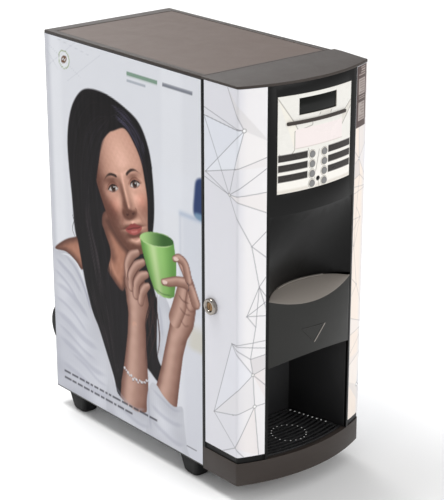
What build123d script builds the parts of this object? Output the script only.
from build123d import *
import math
import os

# Hot coffee vending machine for a counter top. Millimetres, +Z up.
# The front faces -Y, the origin is on the floor under the middle of the whole machine.

# ---- driving dimensions ----
CAB_W = 254.0  # cabinet width
CAB_D = 392.0  # cabinet depth, back panel to door seam
CAB_H = 620.0  # side panel height
FOOT_H = 34.0
DOOR_D = 80.0  # door depth along its side
BOW = 28.0  # how far the bowed front stands out in its middle
BAR_OUT = 2.0  # trim bar, proud of the bowed front
SPACER_OUT = 12.0  # rear spacers
EDGE_OUT = 6.5  # hinge cover on the right, lock bezel on the left
SHEET = 1.2
MOULD = 2.4  # wall of the moulded door parts
SEAM_GAP = 0.4

# ---- places that follow ----
HALF_W = CAB_W / 2
DEPTH = BAR_OUT + BOW + DOOR_D + CAB_D + SPACER_OUT
Y_APEX = -DEPTH / 2 + BAR_OUT
Y_CORNER = Y_APEX + BOW
Y_SEAM = Y_CORNER + DOOR_D
Y_BACK = Y_SEAM + CAB_D
Z_BASE = FOOT_H
Z_TOP = FOOT_H + CAB_H
LID_T = 4.0
Z_WALL = Z_TOP - LID_T  # top of the sheet panels
FRONT_R = (HALF_W**2 + BOW**2) / (2 * BOW)
Y_ARC = Y_APEX + FRONT_R  # centre line of the bowed front
DOOR_BACK = Y_SEAM - SEAM_GAP
SEAM_BAND = 6.0  # black band of the door's rear rim

# ---- middle of the door ----
MID = 3.0  # the black middle sits a little towards the hinge
FASCIA_HALF = 88.0
NICHE_HALF = 83.5
NICHE_BACK_HALF = 60.0
NICHE_DEPTH = 14.0  # how far the niche reaches behind the seam
NICHE_TOP = Z_BASE + 184.0
PLINTH_BOTTOM = Z_BASE - 2.6
PLINTH_TOP = Z_BASE + 34.4
SKIN_BOTTOM = Z_BASE + 45.0
RIM = 9.0  # plinth rim in front of the grille
SCOOP_TOP = Z_BASE + 422.0
LEDGE_BACK_Z = Z_BASE + 296.0
LEDGE_TIP_Z = Z_BASE + 292.0
LEDGE_FRONT_Z = Z_BASE + 276.0
LEDGE_BACK_Y = Y_SEAM - 63.0
PANEL_HALF = 72.5
PANEL_BOTTOM = Z_BASE + 455.0
PANEL_TOP = Z_BASE + 599.0
WINDOW_HALF = 37.0
WINDOW_BOTTOM = Z_BASE + 568.0
WINDOW_TOP = Z_BASE + 593.0
BAR_HALF = 58.0
BAR_Z = Z_BASE + 558.0
BAR_H = 5.0
BUTTON_DX = 12.0
BUTTON_ROWS = 4
BUTTON_TOP_Z = Z_BASE + 506.5
BUTTON_PITCH = 14.8
BUTTON_R = 5.3
BUTTON_TRAVEL = 1.5
LED_Z = Z_BASE + 467.7
BOARD_Y = Y_APEX + 15.0

# ---- lock and hinges ----
LOCK_Y = Y_SEAM - 22.5
LOCK_Z = Z_BASE + 274.6
LOCK_BORE_R = 6.6
HINGE_X = HALF_W + 3.2
HINGE_Y = Y_SEAM - 3.5
HINGE_ZS = (Z_BASE + 96.0, Z_BASE + 540.0)
HINGE_H = 60.0
KNUCKLE_R = 3.0
PIN_R = 1.5

# ---- inside ----
LANES = (-80.0, 0.0, 80.0)
WALL_IN = HALF_W - SHEET
SHELF_Z = Z_BASE + 338.0
DRIVE_Y = 40.0  # panel that the canister motors sit on
MIXER_Y = -40.0  # panel that the mixer motors sit on
AUGER_Z = SHELF_Z + 22.0
AUGER_R = 12.0
PADDLES = 20
SHAFT_R = 3.0
RUN = 0.05  # radial clearance of every turning shaft
CAN_FRONT = -106.0
CAN_BACK = 34.0
CAN_W = 74.0
CAN_H = 200.0
DOG_Y = CAN_BACK + 3.0  # end of the auger shaft, where the motor's drive meets it
MIX_Z = SHELF_Z - 82.0
BOWL_Y = -100.0
TANK_X, TANK_Y, TANK_R = -34.0, 140.0, 72.0
TANK_Z0, TANK_Z1 = Z_BASE + 12.0, Z_BASE + 214.0
FAN_X, FAN_Z, FAN = -60.0, Z_BASE + 520.0, 80.0
INLET_X, INLET_Z = 84.0, Z_BASE + 52.0
SPOUT_Y = Y_SEAM - 50.0
NOZZLE_Z = NICHE_TOP + 12.0
SPOUT_PITCH = 15.0
HOSE_R = 5.4


# ---- helpers ----
def block(x0, x1, y0, y1, z0, z1):
    """Box between two corners."""
    return Pos((x0 + x1) / 2, (y0 + y1) / 2, (z0 + z1) / 2) * Box(x1 - x0, y1 - y0, z1 - z0)


def rod(x, y0, y1, z, r):
    """Round bar along Y."""
    return Pos(x, (y0 + y1) / 2, z) * Rot(90, 0, 0) * Cylinder(r, y1 - y0)


def post(x, y, z0, z1, r):
    """Round bar along Z."""
    return Pos(x, y, (z0 + z1) / 2) * Cylinder(r, z1 - z0)


def bar_x(x0, x1, y, z, r):
    """Round bar along X."""
    return Pos((x0 + x1) / 2, y, z) * Rot(0, 90, 0) * Cylinder(r, x1 - x0)


def front_y(x, inset=0.0):
    """Y of the bowed front at x, set back by inset along its radius."""
    return Y_ARC - math.sqrt((FRONT_R - inset) ** 2 - x**2)


def bow_edge(x0, x1, inset):
    """Arc of the bowed front from x0 to x1."""
    xm = (x0 + x1) / 2
    points = [(x, front_y(x, inset)) for x in (x0, xm, x1)]
    return ThreePointArc(*points)


def plan(edges, z0, z1):
    """Closed outline seen from above, raised from z0 to z1."""
    return Pos(0, 0, z0) * extrude(make_face(edges), amount=z1 - z0, dir=(0, 0, 1))


def bow(x0, x1, inset, depth, z0, z1):
    """Slab that follows the bowed front."""
    outer = bow_edge(x0, x1, inset)
    inner = bow_edge(x0, x1, inset + depth)
    ends = [Line(outer @ 1, inner @ 1), Line(inner @ 0, outer @ 0)]
    return plan([outer, ends[0], inner, ends[1]], z0, z1)


def outline(inset, y_rear, z0, z1, corner=5.0):
    """The whole door seen from above, inset all round but for its rear."""
    half = HALF_W - inset
    arc = bow_edge(-half, half, inset)
    left, right = arc @ 0, arc @ 1
    rear_l, rear_r = (-half, y_rear), (half, y_rear)
    edges = [arc, Line(right, rear_r), Line(rear_r, rear_l), Line(rear_l, left)]
    body = plan(edges, z0, z1)
    front = body.edges().filter_by(Axis.Z).sort_by(Axis.Y)[:2]
    return fillet(front, max(corner - inset, 0.8))


def niche_plan(inset, z0, z1, open_front=False):
    """Tapered plan of the cup niche, closed by the rim's arc unless its front is open."""
    y_wide, y_back = front_y(NICHE_HALF), Y_SEAM + NICHE_DEPTH - inset
    taper = (NICHE_HALF - NICHE_BACK_HALF) / (Y_SEAM + NICHE_DEPTH - y_wide)
    front = Y_APEX - 30
    reach = NICHE_HALF - inset + taper * (y_wide - front)
    back = NICHE_BACK_HALF - inset
    corners = [(MID - reach, front), (MID + reach, front), (MID + back, y_back), (MID - back, y_back)]
    wedge = plan(Polyline(*corners, close=True), z0, z1)
    return wedge if open_front else wedge & post(0, Y_ARC, z0, z1, FRONT_R - RIM - inset)


def strips(solid, half):
    """What lies left and right of the middle."""
    far = 400.0
    left = block(-far, MID - half, -far, far, 0, 800)
    right = block(MID + half, far, -far, far, 0, 800)
    return solid & left, solid & right


def save(name, shape):
    shape.label = name
    export_step(shape, f"parts/{name}.step")


def many(shapes):
    """Separate solids kept in one node."""
    solids = [s for shape in shapes for s in shape.solids()]
    return Compound(children=solids)


# ---- cabinet ----
def base_tray():
    z = Z_BASE + SHEET
    tray = block(-WALL_IN, WALL_IN, Y_SEAM + 2, Y_BACK - 14.2, z, z + 2)
    tray += block(-WALL_IN, WALL_IN, Y_SEAM + 2, Y_SEAM + 3.6, z, z + 26)
    for x, y in foot_places():
        tray -= post(x, y, z - 1, z + 3, 2.6)
    tray -= post(0, 60, z - 1, z + 3, 9)
    for x in (-40, 40):
        tray += block(x - 1, x + 1, MIXER_Y + 10, Y_BACK - 60, z + 2, z + 8)
    swing = 10.0  # room for the back of the drip tray's carrier as the door swings
    reach = NICHE_BACK_HALF + swing
    return tray - block(MID - reach, MID + reach, Y_SEAM, Y_SEAM + NICHE_DEPTH + swing, z - 1, z + 40)


def side_panel(side):
    """Folded sheet: outer skin, front flange and bottom flange."""
    skin = block(WALL_IN, HALF_W, Y_SEAM, Y_BACK, Z_BASE, Z_WALL)
    front = block(HALF_W - 20, HALF_W, Y_SEAM, Y_SEAM + SHEET, Z_BASE, Z_WALL)
    bottom = block(HALF_W - 14, HALF_W, Y_SEAM, Y_BACK, Z_BASE, Z_BASE + SHEET)
    panel = skin + front + bottom
    corner = panel.edges().filter_by(Axis.Z).sort_by(Axis.X)[-2:].sort_by(Axis.Y)[0]
    panel = fillet(corner, 1.0)
    return panel if side > 0 else mirror(panel, Plane.YZ)


def left_panel():
    panel = side_panel(-1)
    return panel + block(-WALL_IN, -92, Y_SEAM + 3.6, Y_SEAM + 7.6, LOCK_Z - 11, LOCK_Z - 7.6)


def back_panel():
    x1, y0, y1 = WALL_IN - 0.2, Y_BACK - 1.4, Y_BACK
    panel = block(-x1, x1, y0, y1, Z_BASE + SHEET, Z_WALL)
    for side in (-1, 1):
        xa, xb = sorted((side * x1, side * (x1 - SHEET)))
        panel += block(xa, xb, y1 - 14, y1, Z_BASE + SHEET, Z_WALL - 3)
    panel -= fan_slots(y0, y1)
    for i in range(9):
        z = Z_BASE + 380 - 9 * i
        panel -= block(-95, -25, y0 - 1, y1 + 1, z, z + 3.5)
    panel -= block(INLET_X - 14, INLET_X + 14, y0 - 1, y1 + 1, INLET_Z - 24, INLET_Z + 24)
    for x, z in back_screw_places():
        panel -= rod(x, y0 - 1, y1 + 1, z, 2.6)
    return panel


def fan_slots(y0, y1):
    """Finger guard pressed into the back: rings of slots with four spokes left."""
    rings = None
    for r in (9, 16, 23, 30, 37):
        ring = rod(FAN_X, y0 - 1, y1 + 1, FAN_Z, r + 2.4) - rod(FAN_X, y0 - 2, y1 + 2, FAN_Z, r - 2.0)
        rings = ring if rings is None else rings + ring
    spoke = Pos(FAN_X, (y0 + y1) / 2, FAN_Z) * Box(110, 20, 5)
    for turn in (45, 135):
        spin = Pos(FAN_X, 0, FAN_Z) * Rot(0, turn, 0) * Pos(-FAN_X, 0, -FAN_Z)
        rings -= spin * spoke
    return rings


def back_screw_places():
    xs = (-HALF_W + 14, HALF_W - 14)
    zs = (Z_BASE + 24, Z_BASE + 220, Z_BASE + 400, Z_BASE + 596)
    return [(x, z) for x in xs for z in zs]


def foot_places():
    xs = (-HALF_W + 24, HALF_W - 24)
    ys = (Y_SEAM + 44, Y_SEAM + 344)
    return [(x, y) for x in xs for y in ys]


def cabinet_screws():
    """The same M5 pan-head screw in the feet and round the back."""
    screws = []
    for x, y in foot_places():
        head = post(x, y, Z_BASE + SHEET + 2.05, Z_BASE + SHEET + 5, 4.6)
        screws.append(head + post(x, y, Z_BASE - 14, Z_BASE + SHEET + 3, 2.45))
    for x, z in back_screw_places():
        head = fillet(rod(x, Y_BACK + 0.05, Y_BACK + 2.8, z, 4.6).edges().sort_by(Axis.Y)[-1], 1.6)
        cross = block(x - 3, x + 3, Y_BACK + 1.6, Y_BACK + 4, z - 0.5, z + 0.5)
        cross += block(x - 0.5, x + 0.5, Y_BACK + 1.6, Y_BACK + 4, z - 3, z + 3)
        screws.append(head + rod(x, Y_BACK - 8, Y_BACK + 1, z, 2.45) - cross)
    return many(screws)


def top_frame():
    """Dark rim round the lid, with a ledge below that the lid rests on."""
    rim = block(-HALF_W, HALF_W, Y_SEAM, Y_BACK, Z_WALL, Z_TOP)
    outer = rim.edges().filter_by(Axis.Y).sort_by(Axis.Z)[-2:]
    rim = fillet(outer, 1.2)
    rim -= block(-HALF_W + 11, HALF_W - 11, Y_SEAM + 3, Y_BACK - 20, Z_WALL - 1, Z_TOP + 1)
    ledge = block(-WALL_IN + 1, WALL_IN - 1, Y_SEAM + 1.4, Y_BACK - 3, Z_WALL - 2, Z_WALL)
    ledge -= block(-HALF_W + 18, HALF_W - 18, Y_SEAM + 10, Y_BACK - 27, Z_WALL - 3, Z_WALL + 1)
    return rim + ledge


def top_lid():
    x, y0, y1 = HALF_W - 11.4, Y_SEAM + 3.4, Y_BACK - 20.4
    lid = block(-x, x, y0, y1, Z_WALL + 0.05, Z_TOP - 0.6)
    return fillet(lid.faces().sort_by(Axis.Z)[-1].edges(), 0.8)


def inner_frame():
    """Welded sheet frame: mixer panel below, shelf, drive panel above."""
    x = WALL_IN - 0.4
    low = block(-x, x, MIXER_Y, MIXER_Y + 1.5, Z_BASE + 3.4, SHELF_Z)
    shelf = block(-x, x, CAN_FRONT + 4, DRIVE_Y + 1.5, SHELF_Z, SHELF_Z + 1.5)
    high = block(-x, x, DRIVE_Y, DRIVE_Y + 1.5, SHELF_Z, Z_WALL - 40)
    lip = block(-x, x, DRIVE_Y, DRIVE_Y + 14, Z_WALL - 41.5, Z_WALL - 40)
    frame = low + shelf + high + lip
    for lane in LANES:
        frame -= rod(lane, MIXER_Y - 2, MIXER_Y + 3, MIX_Z, 6)
        frame -= rod(lane, DRIVE_Y - 2, DRIVE_Y + 3, AUGER_Z, 7)
    return frame


def feet():
    """Four tapered moulded feet."""
    shapes = []
    for x, y in foot_places():
        top = Pos(x, y, Z_BASE) * RectangleRounded(40, 44, 5)
        low = Pos(x, y, 5) * RectangleRounded(32, 34, 8)
        foot = loft(Sketch() + [top, low])
        sole = Pos(x, y, 0) * RectangleRounded(26, 28, 8)
        foot += loft(Sketch() + [Pos(x, y, 5) * RectangleRounded(32, 34, 8), sole])
        shapes.append(foot - post(x, y, Z_BASE - 15, Z_BASE + 1, 2.6))
    return many(shapes)


def rear_spacers():
    """Two bow-shaped bumpers that keep the back off a wall."""
    half, rise = 29.5, SPACER_OUT
    radius = (half**2 + rise**2) / (2 * rise)
    z = Z_BASE + 116.5
    shapes = []
    for x in (-HALF_W + 11, HALF_W - 11):
        disc = bar_x(x - 10, x + 10, Y_BACK + rise - radius, z, radius)
        shape = disc & block(x - 11, x + 11, Y_BACK + 0.02, Y_BACK + 30, z - 40, z + 40)
        shapes.append(shape)
    return many(shapes)


def power_inlet():
    """IEC C14 inlet and switch bezel in one moulding."""
    y0 = Y_BACK - 26
    x, z = INLET_X, INLET_Z
    body = block(x - 13.7, x + 13.7, y0, Y_BACK, z - 23.7, z + 23.7)
    body += block(x - 17, x + 17, Y_BACK + 0.02, Y_BACK + 3, z - 28, z + 28)
    body -= block(x - 12, x + 12, Y_BACK - 16, Y_BACK + 4, z - 20.5, z - 4.5)
    body -= block(x - 10.2, x + 10.2, Y_BACK - 8, Y_BACK + 4, z + 4.5, z + 19.5)
    for dx, dz in ((-7, -11), (7, -11), (0, -15)):
        body += block(x + dx - 1, x + dx + 1, Y_BACK - 17, Y_BACK - 1, z + dz - 2, z + dz + 2)
    return body


def power_rocker():
    x, z = INLET_X, INLET_Z + 12
    rocker = block(x - 9.8, x + 9.8, Y_BACK - 4.4, Y_BACK + 3.2, z - 6.0, z + 6.0)
    dip = Pos(x, Y_BACK + 16.5, z) * Rot(0, 90, 0) * Cylinder(14.6, 30)
    rocker -= dip
    rocker += bar_x(x - 10.15, x + 10.15, Y_BACK - 3.2, z, 1.2)
    return rocker


def fan_frame():
    half = FAN / 2
    y1 = Y_BACK - 1.45
    y0 = y1 - 25
    frame = block(FAN_X - half, FAN_X + half, y0, y1, FAN_Z - half, FAN_Z + half)
    frame -= rod(FAN_X, y0 - 1, y1 + 1, FAN_Z, half - 1.8)
    frame += rod(FAN_X, y0, y0 + 4, FAN_Z, 18)
    for turn in (0, 60, 120):
        spin = Pos(FAN_X, 0, FAN_Z) * Rot(0, turn, 0) * Pos(-FAN_X, 0, -FAN_Z)
        arm = spin * block(FAN_X - half + 1, FAN_X + half - 1, y0, y0 + 3, FAN_Z - 1.5, FAN_Z + 1.5)
        frame += arm
    frame -= rod(FAN_X, y0 - 1, y0 + 5, FAN_Z, 2.5 + RUN)
    return frame


def fan_rotor():
    y1 = Y_BACK - 1.45
    y0 = y1 - 25
    rotor = rod(FAN_X, y0 + 5.5, y1 - 2, FAN_Z, 17)
    for i in range(7):
        blade = Pos(FAN_X + 25, y0 + 14, FAN_Z) * Rot(34, 0, 0) * Box(20, 1.6, 17)
        spin = Pos(FAN_X, 0, FAN_Z) * Rot(0, 360 / 7 * i, 0) * Pos(-FAN_X, 0, -FAN_Z)
        rotor += spin * blade
    return rotor + rod(FAN_X, y0 + 0.5, y0 + 6, FAN_Z, 2.5)


def boiler():
    """Lidded stainless water tank on three pads."""
    wall, flange, pad_ring = 1.5, 8.0, 55.0
    tank = post(TANK_X, TANK_Y, TANK_Z0, TANK_Z1, TANK_R)
    tank -= post(TANK_X, TANK_Y, TANK_Z0 + wall, TANK_Z1 + 1, TANK_R - wall)
    tank += post(TANK_X, TANK_Y, TANK_Z1, TANK_Z1 + 3, TANK_R + flange)
    for x, y in round_places(3, pad_ring, 90):
        tank += post(x, y, Z_BASE + 3.25, TANK_Z0 + 0.5, 9)
    for x, y in round_places(6, TANK_R + flange / 2, 0):
        tank += post(x, y, TANK_Z1 + 2, TANK_Z1 + 7, 3.2)
    level_pot = post(TANK_X - 20, TANK_Y + 10, TANK_Z1 + 2, TANK_Z1 + 34, 13)
    vent = post(TANK_X + 24, TANK_Y - 18, TANK_Z1 + 2, TANK_Z1 + 20, 7)
    return tank + level_pot + vent


def round_places(count, radius, start):
    """Points spaced evenly round the tank's axis."""
    turns = [math.radians(start + 360 / count * i) for i in range(count)]
    return [(TANK_X + radius * math.cos(t), TANK_Y + radius * math.sin(t)) for t in turns]


def valve_manifold():
    """Brass bar with one solenoid valve for each lane."""
    y, z = 44.0, Z_BASE + 150.0
    bar = block(-118, 110, y - 9, y + 3, z - 7, z + 7)
    for lane in LANES:
        bar += post(lane, y - 3, z + 6, z + 14, 8)
        bar += block(lane - 15, lane + 15, y - 16, y + 14, z + 13, z + 40)
        bar += post(lane, y - 3, z + 39, z + 47, 4)
        bar += rod(lane, MIXER_Y + 1.6, y - 8, z, 4)
    return bar


# ---- powder lanes ----
def canister(lane):
    """Open box with a round trough for the auger and a spout at its front."""
    half, wall = CAN_W / 2, 2.0
    z0, z1 = SHELF_Z + 1.55, SHELF_Z + CAN_H
    hull = block(lane - half, lane + half, CAN_FRONT, CAN_BACK, z0, z1)
    top = AUGER_Z + 46
    inner = block(lane - half + wall, lane + half - wall, CAN_FRONT + wall, CAN_BACK - wall, top, z1 + 1)
    slopes = [(-half + wall, top), (half - wall, top), (15, AUGER_Z), (-15, AUGER_Z)]
    flare = Pos(lane, 0, 0) * plan_xz(slopes, CAN_FRONT + wall, CAN_BACK - wall)
    trough = rod(lane, CAN_FRONT + wall, CAN_BACK - wall, AUGER_Z, 15)
    spout = rod(lane, CAN_FRONT - 23, CAN_FRONT + 1, AUGER_Z, 17.5)
    tube = rod(lane, CAN_FRONT - 21, CAN_FRONT + 5, AUGER_Z, 15)
    mouth = block(lane - 9, lane + 9, CAN_FRONT - 20, CAN_FRONT - 5, AUGER_Z - 20, AUGER_Z)
    shaft = rod(lane, CAN_BACK - 4, CAN_BACK + 2, AUGER_Z, SHAFT_R + RUN)
    return hull + spout - inner - flare - trough - tube - mouth - shaft


def plan_xz(points, y0, y1):
    """Outline seen from the front, drawn back from y0 to y1."""
    face = make_face(Polyline(*[(x, y0, z) for x, z in points], close=True))
    return extrude(face, amount=y1 - y0, dir=(0, 1, 0))


def canister_lid(lane):
    z = SHELF_Z + CAN_H
    half = CAN_W / 2
    lid = block(lane - half - 1, lane + half + 1, CAN_FRONT - 1, CAN_BACK + 1, z + 0.1, z + 3)
    plug = block(lane - half + 2.6, lane + half - 2.6, CAN_FRONT + 2.6, CAN_BACK - 2.6, z - 6, z + 1)
    hollow = block(lane - half + 4.4, lane + half - 4.4, CAN_FRONT + 4.4, CAN_BACK - 4.4, z - 7, z)
    lid = fillet(lid.edges().filter_by(Axis.Z), 3) + (plug - hollow)
    tab = block(lane - 12, lane + 12, CAN_FRONT - 7, CAN_FRONT + 1, z + 0.1, z + 2)
    return lid + tab


def auger(lane):
    """Shaft with a broken screw of pitched paddles and a slotted dog behind the canister."""
    screw = rod(lane, CAN_FRONT - 14, DOG_Y, AUGER_Z, SHAFT_R)
    screw -= block(lane - 5, lane + 5, DOG_Y - 1.6, DOG_Y + 1, AUGER_Z - 0.8, AUGER_Z + 0.8)
    screw += rod(lane, CAN_BACK - 8, CAN_BACK - 2.4, AUGER_Z, AUGER_R)
    step, turn, pitch = 6.5, 75.0, 28.0
    for i in range(PADDLES):
        paddle = Pos(AUGER_R - 5, CAN_FRONT - 9 + step * i, 0) * Rot(pitch, 0, 0) * Box(10, 1.5, 10)
        screw += Pos(lane, 0, AUGER_Z) * Rot(0, turn * i, 0) * paddle
    return screw


def auger_motors():
    motors = []
    for lane in LANES:
        y = DRIVE_Y + 1.55
        gearbox = block(lane - 26, lane + 26, y, y + 24, AUGER_Z - 18, AUGER_Z + 34)
        can = rod(lane, y + 23, y + 62, AUGER_Z + 12, 17)
        drive = rod(lane, DOG_Y + 0.4, y + 1, AUGER_Z, 5)
        motors.append(fillet(gearbox.edges().filter_by(Axis.Y), 6) + can + drive)
    return many(motors)


def mixing_bowls():
    """Funnel, whipping chamber and outlet of each lane."""
    bowls = []
    for lane in LANES:
        bowl = bowl_form(lane, 35, 16, 21, 6, 0)
        bowls.append(bowl - bowl_form(lane, 33.4, 14.4, 19, 4.2, 2))
    return many(bowls)


def bowl_form(lane, r_top, r_low, r_mix, r_out, cut):
    z_top, z_low = SHELF_Z - 22, MIX_Z + 14
    funnel = Pos(lane, BOWL_Y, (z_top + z_low) / 2) * Cone(r_low, r_top, z_top - z_low)
    if cut:
        funnel += post(lane, BOWL_Y, z_top - 0.5, z_top + 5, r_top)
        funnel += post(lane, BOWL_Y, MIX_Z, z_low + 0.5, r_low)
        mixer = rod(lane, BOWL_Y - 14, MIXER_Y - 1 - cut, MIX_Z, r_mix)
        mixer += rod(lane, MIXER_Y - 4, MIXER_Y + 1, MIX_Z, 5)
    else:
        mixer = rod(lane, BOWL_Y - 17, MIXER_Y - 0.05, MIX_Z, r_mix)
        funnel += post(lane, BOWL_Y, MIX_Z, z_low + 0.5, r_low)
    outlet = rod(lane, BOWL_Y - 27 - cut, BOWL_Y - 12, MIX_Z - 10, r_out)
    return funnel + mixer + outlet


def whipper(lane):
    y = MIXER_Y
    wheel = rod(lane, y - 22, y - 20, MIX_Z, 15)
    wheel += rod(lane, y - 30, MIXER_Y + 18, MIX_Z, 2.5)
    for i in range(6):
        spin = Pos(lane, 0, MIX_Z) * Rot(0, 60 * i, 0) * Pos(-lane, 0, -MIX_Z)
        wheel += spin * block(lane + 5, lane + 15, y - 29, y - 21, MIX_Z - 0.8, MIX_Z + 0.8)
    return wheel


def whipper_motors():
    motors = []
    for lane in LANES:
        y = MIXER_Y + 1.55
        flange = rod(lane, y, y + 4, MIX_Z, 24)
        can = rod(lane, y + 3, y + 58, MIX_Z, 19) + rod(lane, y + 57, y + 62, MIX_Z, 7)
        motors.append(flange + can - rod(lane, y - 1, y + 18, MIX_Z, 2.5 + RUN))
    return many(motors)


def nozzle_block():
    """Arm from the mixer panel that holds the three spouts over the cup."""
    z = NOZZLE_Z
    arm = block(MID - 27, MID + 27, SPOUT_Y - 9, MIXER_Y - 0.05, z, z + 3)
    arm += block(MID - 27, MID - 24, SPOUT_Y - 9, MIXER_Y - 0.05, z, z + 14)
    arm += block(MID + 24, MID + 27, SPOUT_Y - 9, MIXER_Y - 0.05, z, z + 14)
    arm += block(MID - 27, MID + 27, MIXER_Y - 3, MIXER_Y - 0.05, z, z + 34)
    places = [MID + dx for dx in (-SPOUT_PITCH, 0, SPOUT_PITCH)]
    for x in places:
        arm += post(x, SPOUT_Y, z - 6, z + 10, 5.6)
    for x in places:
        arm -= post(x, SPOUT_Y, z - 17, z + 13, 3.6)
    return arm


def drink_hoses():
    """Silicone hose from each mixing bowl, forward and down into its spout."""
    hoses = []
    for lane, dx in zip(LANES, (-SPOUT_PITCH, 0, SPOUT_PITCH)):
        z, y = MIX_Z - 10, BOWL_Y - 27.1
        end = (MID + dx, SPOUT_Y, NOZZLE_Z + 10.1)
        above = (end[0], end[1], end[2] + 22)
        route = FilletPolyline((lane, y, z), (lane, y - 14, z), above, end, radius=8.0)
        hoses.append(sweep(Plane(origin=route @ 0, z_dir=route % 0) * Circle(HOSE_R), path=route))
    return many(hoses)


# ---- door ----
def door_shell():
    """Black moulded shell: side walls, front strips behind the skins and a rear rim."""
    hollow = outline(SHEET, DOOR_BACK, PLINTH_TOP + 0.05, Z_WALL - 0.05)
    core = outline(SHEET + MOULD, DOOR_BACK + 1, PLINTH_TOP - 1, Z_WALL - 2.6)
    left, right = strips(hollow - core, FASCIA_HALF + 0.2)
    top = outline(MOULD + 2.2, DOOR_BACK, Z_WALL - 2.6, Z_WALL - 0.05)
    y_rim = DOOR_BACK - SEAM_BAND + SEAM_GAP
    rim = block(-HALF_W, HALF_W - 0.4, y_rim, DOOR_BACK, PLINTH_TOP + 0.05, Z_WALL - 0.05)
    rim -= block(-HALF_W + 22, HALF_W - 22, Y_SEAM - 20, Y_SEAM + 5, PLINTH_TOP - 1, Z_WALL - 14)
    ribs = None
    for x in (MID - FASCIA_HALF - MOULD, MID + FASCIA_HALF + 0.2):
        web = block(x, x + 2.2, front_y(x) + 6, Y_SEAM - 40, PLINTH_TOP + 0.05, Z_WALL - 0.05)
        ribs = web if ribs is None else ribs + web
    ribs &= core + hollow
    shell = left + right + top + rim + ribs
    return shell - bar_x(-HALF_W - 5, -HALF_W + 12, LOCK_Y, LOCK_Z, 9.7)


def door_skins():
    """Printed skins wrapped round the left and right of the door."""
    y = Y_SEAM - SEAM_BAND
    full = outline(0, y, SKIN_BOTTOM, Z_WALL) - outline(SHEET, y + 1, SKIN_BOTTOM - 1, Z_WALL + 1)
    left, right = strips(full, FASCIA_HALF + 0.2)
    return left - bar_x(-HALF_W - 5, -HALF_W + 5, LOCK_Y, LOCK_Z, 9.7), right


def door_cap():
    """Dark top of the door, with a cover over the hinge line."""
    cap = outline(0, DOOR_BACK, Z_WALL + 0.02, Z_TOP)
    x, y = HALF_W - 6, Y_SEAM - 1.5
    x_far = HALF_W + EDGE_OUT
    points = [(x, Y_CORNER + 8), (HALF_W, Y_CORNER + 6), (x_far, y - 16), (x_far, y), (x, y)]
    wedge = plan(Polyline(*points, close=True), Z_WALL + 0.02, Z_TOP)
    cap = cap + wedge
    return fillet(cap.faces().sort_by(Axis.Z)[-1].edges().filter_by(lambda e: e.center().Y < Y_SEAM - 2), 1.2)


def fascia():
    """Black middle: window frame above, scooped recess, slim rails beside the niche."""
    x0, x1 = MID - FASCIA_HALF, MID + FASCIA_HALF
    frame = bow(x0, x1, 0, MOULD, SCOOP_TOP, Z_WALL - 0.05)
    frame += bow(x0 + 1, x1 - 1, MOULD, 2.0, SCOOP_TOP, Z_WALL - 3)
    seat, hole = PANEL_HALF + 0.25, PANEL_HALF - 3.5
    frame -= bow(MID - seat, MID + seat, -1, 3.15, PANEL_BOTTOM - 0.25, PANEL_TOP + 0.25)
    frame -= block(MID - hole, MID + hole, Y_APEX - 5, Y_CORNER, PANEL_BOTTOM + 3.5, PANEL_TOP - 3.5)
    frame -= block(MID - 22, MID + 22, Y_APEX - 5, Y_CORNER, PANEL_BOTTOM + 0.4, PANEL_BOTTOM + 9)
    rail_w = FASCIA_HALF - NICHE_HALF
    for xa, xb in ((x0, x0 + rail_w), (x1 - rail_w, x1)):
        frame += bow(xa, xb, 0, MOULD + 2, PLINTH_TOP + 0.05, SCOOP_TOP)
    return frame + scoop()


def scoop():
    """Wall that turns from the bowed front to a hollow one on its way down."""
    x0, x1 = MID - NICHE_HALF, MID + NICHE_HALF

    def section(z, y_mid):
        tips = (x0, front_y(x0, 0.6)), (x1, front_y(x1, 0.6))
        front = ThreePointArc(tips[0], (MID, y_mid), tips[1])
        rear = ThreePointArc(*[(p.X, p.Y + MOULD) for p in (front @ 0, front @ 0.5, front @ 1)])
        face = make_face([front, Line(front @ 1, rear @ 1), rear, Line(rear @ 0, front @ 0)])
        return Pos(0, 0, z) * face

    low = section(LEDGE_BACK_Z + 1, LEDGE_BACK_Y)
    high = section(SCOOP_TOP, front_y(MID, 0.6))
    return loft(Sketch() + [low, high], ruled=True)


def ledge_cutter(drop, z_far):
    """Everything between the ledge surface, lowered by drop, and the level z_far.

    The surface rises towards the back and dips towards its front middle.
    """
    slope = (LEDGE_BACK_Z - LEDGE_FRONT_Z) / (LEDGE_BACK_Y - Y_APEX)
    start, reach = 10.0, 110.0
    tip_z = LEDGE_TIP_Z - slope * (front_y(NICHE_HALF) - Y_APEX) - slope * start - drop
    mid_z = LEDGE_FRONT_Z - slope * start - drop
    x0, x1, y0 = MID - NICHE_HALF, MID + NICHE_HALF, Y_APEX - start
    arc = ThreePointArc((x0, y0, tip_z), (MID, y0, mid_z), (x1, y0, tip_z))
    corners = [(x1, y0, tip_z), (x1 + 9, y0, tip_z), (x1 + 9, y0, z_far)]
    corners += [(x0 - 9, y0, z_far), (x0 - 9, y0, tip_z), (x0, y0, tip_z)]
    face = make_face([arc, Polyline(*corners)])
    return extrude(face, amount=reach * math.hypot(1, slope), dir=(0, 1, slope))


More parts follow.
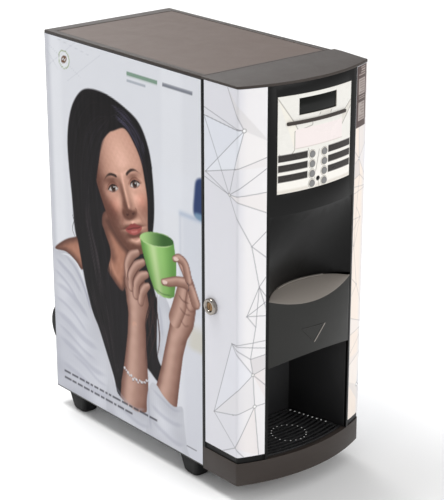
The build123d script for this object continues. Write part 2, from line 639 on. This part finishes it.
def spout_cover():
    """Front wall over the spouts and the sloping ledge behind its top edge."""
    x0, x1 = MID - NICHE_HALF + 0.2, MID + NICHE_HALF - 0.2
    wall = bow(x0, x1, 0.3, MOULD, NICHE_TOP, LEDGE_TIP_Z + 10)
    tips = bow_edge(x0, x1, 0.4)
    hollow = ThreePointArc(tips @ 0, (MID, LEDGE_BACK_Y + 1.5), tips @ 1)
    lens = plan([tips, hollow], NICHE_TOP + 40, LEDGE_BACK_Z + 10)
    above = ledge_cutter(0, LEDGE_BACK_Z + 80)
    below = ledge_cutter(MOULD + 0.4, NICHE_TOP - 60)
    ledge = lens - above - below
    arch = 9.0
    radius = (NICHE_HALF**2 + arch**2) / (2 * arch)
    notch = rod(MID, Y_APEX - 5, Y_SEAM, NICHE_TOP + arch - radius, radius)
    return (wall - above) + ledge - notch


def control_panel():
    """Silver plate with a window, eight button holes and a light."""
    x0, x1 = MID - PANEL_HALF, MID + PANEL_HALF
    plate = bow(x0, x1, 0.4, 1.6, PANEL_BOTTOM, PANEL_TOP)
    cut = (Y_APEX - 5, Y_CORNER)
    plate -= block(MID - WINDOW_HALF, MID + WINDOW_HALF, *cut, WINDOW_BOTTOM, WINDOW_TOP)
    for x, z in button_places():
        plate += rod(x, front_y(x) - 0.4, front_y(x) + 1, z, BUTTON_R + 1.3)
        plate -= rod(x, *cut, z, BUTTON_R + 0.25)
    return plate - rod(MID, *cut, LED_Z, 2.7)


def button_places():
    zs = [BUTTON_TOP_Z - BUTTON_PITCH * i for i in range(BUTTON_ROWS)]
    return [(MID + dx, z) for dx in (-BUTTON_DX, BUTTON_DX) for z in zs]


def button(x, z):
    """Round key: cap, retaining flange and stem."""
    y = front_y(x)
    cap = rod(x, y - 1.4, y + 4, z, BUTTON_R)
    cap = fillet(cap.edges().sort_by(Axis.Y)[0], 0.8)
    return cap + rod(x, y + 2.6, y + 3.8, z, BUTTON_R + 0.8) + rod(x, y + 3, y + 6.4, z, 2.4)


def display_window():
    """Dark clear lens behind the panel's window."""
    return bow(MID - WINDOW_HALF - 2, MID + WINDOW_HALF + 2, 2.1, 1.6, WINDOW_BOTTOM - 2, WINDOW_TOP + 2)


def display_board():
    """Circuit board with the display, the key switches and the light."""
    board = block(MID - 60, MID + 60, BOARD_Y, BOARD_Y + 1.6, PANEL_BOTTOM + 6, PANEL_TOP - 4)
    board += block(MID - 38, MID + 38, BOARD_Y - 8.4, BOARD_Y, WINDOW_BOTTOM - 4, WINDOW_TOP + 2)
    for x, z in button_places():
        board += block(x - 3, x + 3, BOARD_Y - 3.6, BOARD_Y, z - 3, z + 3)
        board += rod(x, front_y(x) + 6.4 + BUTTON_TRAVEL + 0.2, BOARD_Y - 3, z, 1.7)
    board += rod(MID, Y_APEX + 0.2, BOARD_Y, LED_Z, 2.4)
    board += block(MID - 40, MID + 30, BOARD_Y + 1.6, BOARD_Y + 9, PANEL_BOTTOM + 14, PANEL_BOTTOM + 34)
    return board


def ridge_bar():
    x0, x1 = MID - BAR_HALF, MID + BAR_HALF
    bar = bow(x0, x1, -BAR_OUT, BAR_OUT + 0.35, BAR_Z - BAR_H / 2, BAR_Z + BAR_H / 2)
    return fillet(bar.edges().filter_by(lambda e: e.length < BAR_OUT + 0.6), 1.6)


def niche_liner():
    """Tapered U round the cup space."""
    z0, z1 = PLINTH_TOP + 0.05, NICHE_TOP
    liner = niche_plan(-2.2, z0, z1, open_front=True) - niche_plan(0, z0 - 1, z1 + 1, open_front=True)
    liner &= outline(MOULD + 2.2, Y_SEAM + 60, z0, z1)
    return liner


def plinth():
    """Drip tray carrier under the door."""
    body = outline(0, DOOR_BACK, PLINTH_BOTTOM, PLINTH_TOP)
    body += niche_plan(-2.6, PLINTH_BOTTOM, PLINTH_TOP) & block(-200, 200, Y_SEAM - 5, 200, 0, 200)
    body -= niche_plan(0, PLINTH_BOTTOM + 3, PLINTH_TOP + 1)
    for side in (-1, 1):
        xa, xb = sorted((side * (HALF_W - 3), MID + side * (NICHE_HALF + 6)))
        body -= block(xa, xb, Y_CORNER + 8, DOOR_BACK - 3, PLINTH_BOTTOM - 1, PLINTH_TOP - 3)
    return body


def drip_tray():
    z0, z1 = PLINTH_BOTTOM + 3.2, PLINTH_TOP - 5
    tray = niche_plan(1.0, z0, z1) - niche_plan(2.8, z0 + 1.8, z1 + 1)
    return tray


def cup_grille():
    """Curved slats in a rim, resting on the drip tray."""
    z0, z1 = PLINTH_TOP - 4.9, PLINTH_TOP + 1.6
    rim = niche_plan(1.2, z0, z1) - niche_plan(4.2, z0 - 1, z1 + 1)
    field = niche_plan(3.0, z0, z1)
    pitch, bar = 8.7, 3.4
    slats = None
    for i in range(1, 13):
        slat = bow(MID - 84, MID + 84, RIM + pitch * i, bar, z0 + 2, z1) & field
        if slat.volume > 1:
            slats = slat if slats is None else slats + slat
    ribs = None
    for dx in (-40, 0, 40):
        rib = block(MID + dx - 1.2, MID + dx + 1.2, -300, 0, z0, z0 + 3) & field
        ribs = rib if ribs is None else ribs + rib
    return rim + slats + ribs


def lock_body():
    """Bezel, threaded body and nut of the cam lock."""
    body = bar_x(-HALF_W - EDGE_OUT, -HALF_W - 0.02, LOCK_Y, LOCK_Z, 13)
    body = fillet(body.edges().sort_by(Axis.X)[0], 2.4)
    body += bar_x(-HALF_W - 1, -HALF_W + 24, LOCK_Y, LOCK_Z, 9.5)
    hexagon = Pos(-HALF_W + 7.4, LOCK_Y, LOCK_Z) * Rot(0, 90, 0) * extrude(RegularPolygon(14, 6), 4, both=False)
    body += hexagon
    body -= Pos(-HALF_W - EDGE_OUT, LOCK_Y, LOCK_Z) * Rot(0, 90, 0) * Cone(10.5, LOCK_BORE_R, 5)
    return body - bar_x(-HALF_W - 10, -HALF_W + 30, LOCK_Y, LOCK_Z, LOCK_BORE_R)


def lock_barrel():
    """Keyed barrel with its hooked cam, cam up while the door is free."""
    x0, x1 = -HALF_W - EDGE_OUT + 2, -HALF_W + 28
    barrel = bar_x(x0, x1, LOCK_Y, LOCK_Z, LOCK_BORE_R - RUN)
    barrel -= block(x0 - 1, x0 + 18, LOCK_Y - 0.6, LOCK_Y + 0.6, LOCK_Z - 4, LOCK_Z + 4)
    barrel += bar_x(x1 - 0.5, x1 + 4, LOCK_Y, LOCK_Z, 4.5)
    cam = block(x1 - 3.2, x1, LOCK_Y - 6, LOCK_Y + 6, LOCK_Z - 7, LOCK_Z + 36)
    hook = block(x1 - 3.2, x1, LOCK_Y - 6, LOCK_Y + 12, LOCK_Z + 32, LOCK_Z + 36)
    return barrel + cam + hook


def hinge_leaf(side):
    """Leaf plates and knuckles on both hinge heights: side -1 door, +1 cabinet."""
    shapes = []
    for z in HINGE_ZS:
        ends = [(z, z + 19.8), (z + 40.2, z + HINGE_H)] if side < 0 else [(z + 20.2, z + 39.8)]
        y_far = HINGE_Y + side * 24
        y0, y1 = sorted((HINGE_Y, y_far))
        inner = HALF_W + 0.05 if side < 0 else HALF_W + 0.3
        plate_y = (y0, HINGE_Y - 3.3) if side < 0 else (HINGE_Y + 3.3, y1)
        leaf = block(inner, HALF_W + 1.6, *plate_y, z, z + HINGE_H)
        for za, zb in ends:
            leaf += post(HINGE_X, HINGE_Y, za, zb, KNUCKLE_R)
            leaf += block(inner, HALF_W + 1.6, y0, y1, za, zb)
        if side > 0:
            leaf += block(HALF_W + 0.02, HALF_W + 0.5, Y_SEAM + 2, y1, z, z + HINGE_H)
        shapes.append(leaf - post(HINGE_X, HINGE_Y, z - 1, z + HINGE_H + 1, PIN_R + RUN))
    return many(shapes)


def hinge_pins():
    pins = []
    for z in HINGE_ZS:
        pin = post(HINGE_X, HINGE_Y, z - 0.5, z + HINGE_H + 0.1, PIN_R)
        pins.append(pin + post(HINGE_X, HINGE_Y, z + HINGE_H + 0.1, z + HINGE_H + 2, 2.6))
    return many(pins)


def main():
    os.makedirs("parts", exist_ok=True)
    left_skin, right_skin = door_skins()
    whole = {
        "base_tray": base_tray(),
        "left_panel": left_panel(),
        "right_panel": side_panel(1),
        "back_panel": back_panel(),
        "top_frame": top_frame(),
        "top_lid": top_lid(),
        "inner_frame": inner_frame(),
        "feet": feet(),
        "cabinet_screws": cabinet_screws(),
        "rear_spacers": rear_spacers(),
        "power_inlet": power_inlet(),
        "power_rocker": power_rocker(),
        "fan_frame": fan_frame(),
        "fan_rotor": fan_rotor(),
        "boiler": boiler(),
        "valve_manifold": valve_manifold(),
        "auger_motors": auger_motors(),
        "mixing_bowls": mixing_bowls(),
        "whipper_motors": whipper_motors(),
        "nozzle_block": nozzle_block(),
        "drink_hoses": drink_hoses(),
        "door_shell": door_shell(),
        "door_skin_left": left_skin,
        "door_skin_right": right_skin,
        "door_cap": door_cap(),
        "fascia": fascia(),
        "spout_cover": spout_cover(),
        "control_panel": control_panel(),
        "display_window": display_window(),
        "display_board": display_board(),
        "ridge_bar": ridge_bar(),
        "niche_liner": niche_liner(),
        "plinth": plinth(),
        "drip_tray": drip_tray(),
        "cup_grille": cup_grille(),
        "lock_body": lock_body(),
        "lock_barrel": lock_barrel(),
        "door_hinge_leaves": hinge_leaf(-1),
        "cabinet_hinge_leaves": hinge_leaf(1),
        "hinge_pins": hinge_pins(),
    }
    for i, lane in enumerate(LANES, 1):
        whole[f"canister_{i}"] = canister(lane)
        whole[f"canister_lid_{i}"] = canister_lid(lane)
        whole[f"auger_{i}"] = auger(lane)
        whole[f"whipper_{i}"] = whipper(lane)
    for i, (x, z) in enumerate(button_places(), 1):
        whole[f"button_{i}"] = button(x, z)
    for name, shape in whole.items():
        save(name, shape)


if __name__ == "__main__":
    main()
